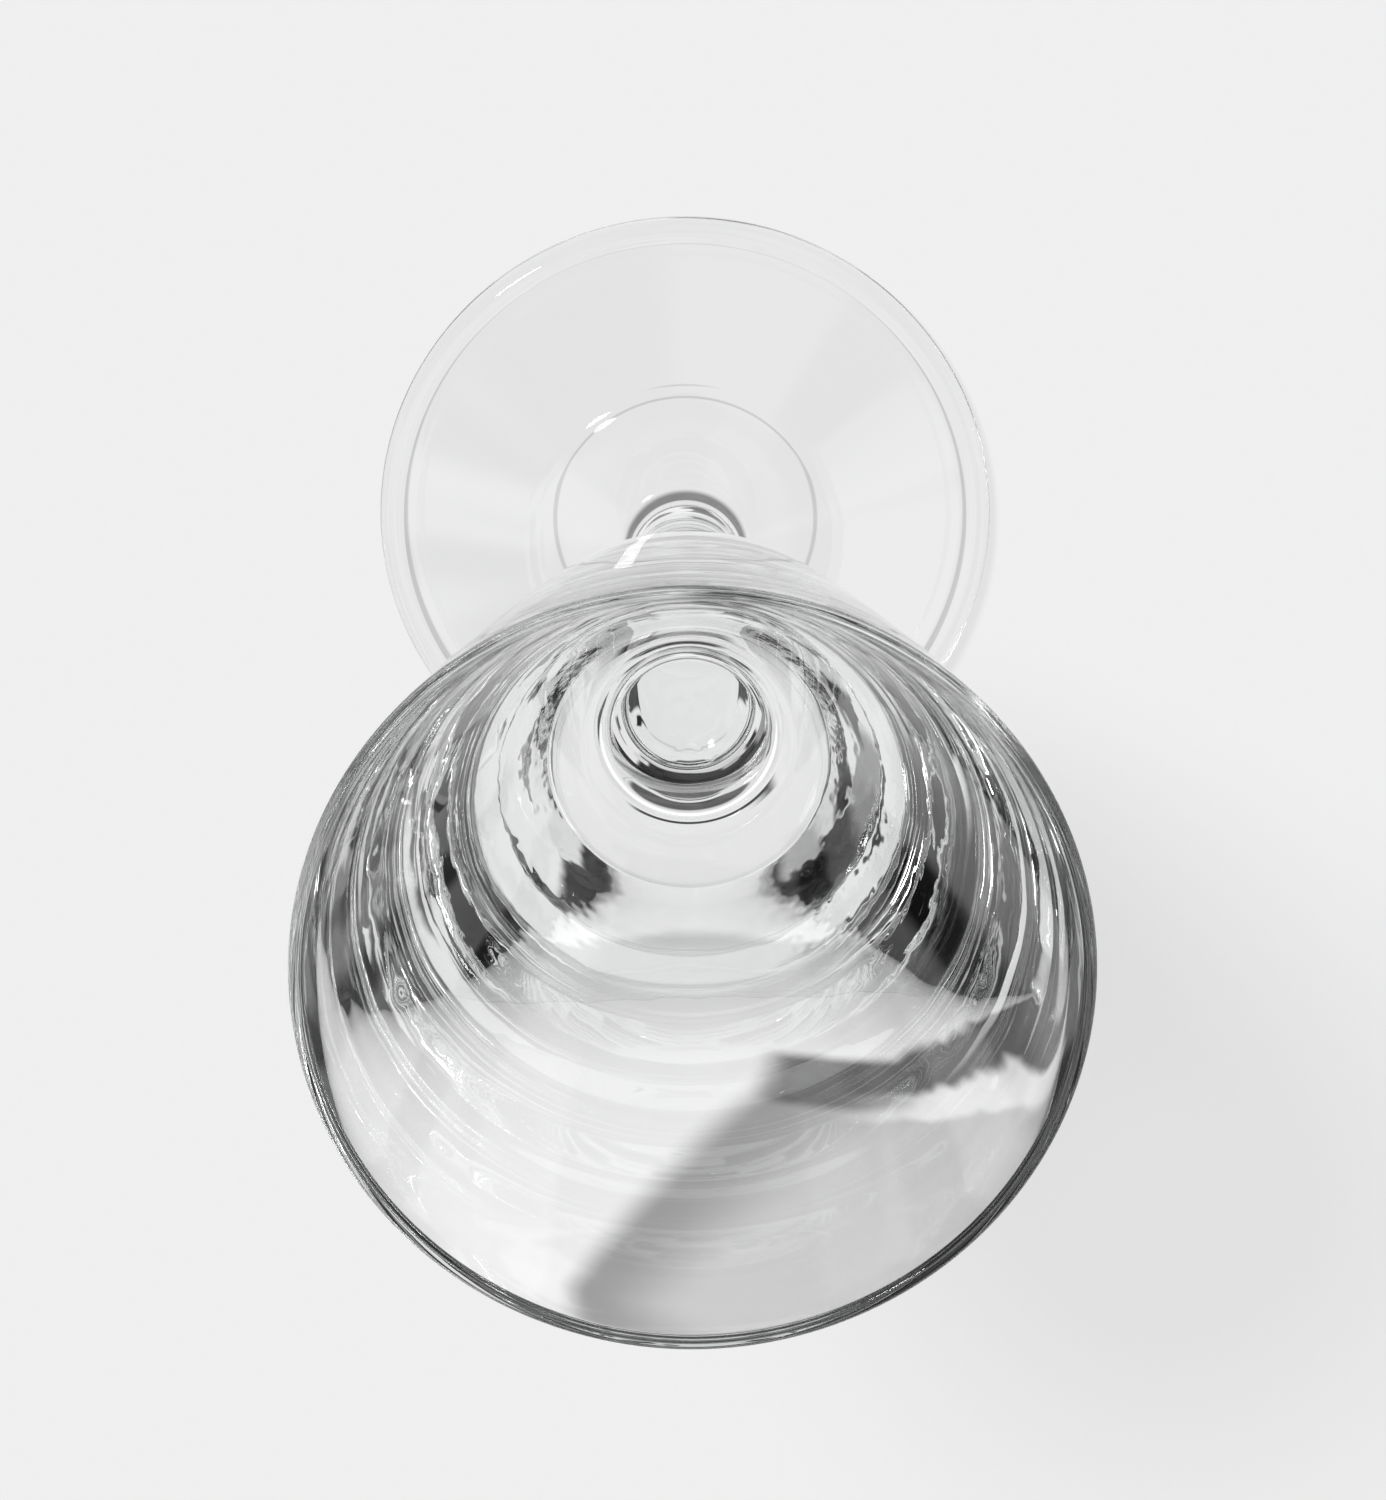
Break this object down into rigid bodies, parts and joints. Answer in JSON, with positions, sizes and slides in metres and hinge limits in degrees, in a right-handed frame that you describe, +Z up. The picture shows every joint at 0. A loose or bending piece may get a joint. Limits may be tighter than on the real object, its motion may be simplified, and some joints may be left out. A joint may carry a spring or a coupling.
{
  "type": "liqueur glass",
  "caption": "Small clear stemmed glass with a tapered bowl on a thick base, a plain round stem and a hollow domed foot, for serving liqueur.",
  "frame": {"origin": "middle of the plane that the foot's standing ring rests on", "axes": "+Z up along the axis of the stem and bowl; the glass is round, so +X and +Y are any two directions across it"},
  "size_m": [0.052, 0.052, 0.1153],
  "materials": {
    "clear_glass": "clear and colourless, smooth and fire-polished"
  },
  "bodies": {
    "root": {"bowl": "clear_glass", "stem": "clear_glass", "foot": "clear_glass"}
  },
  "joints": []
}
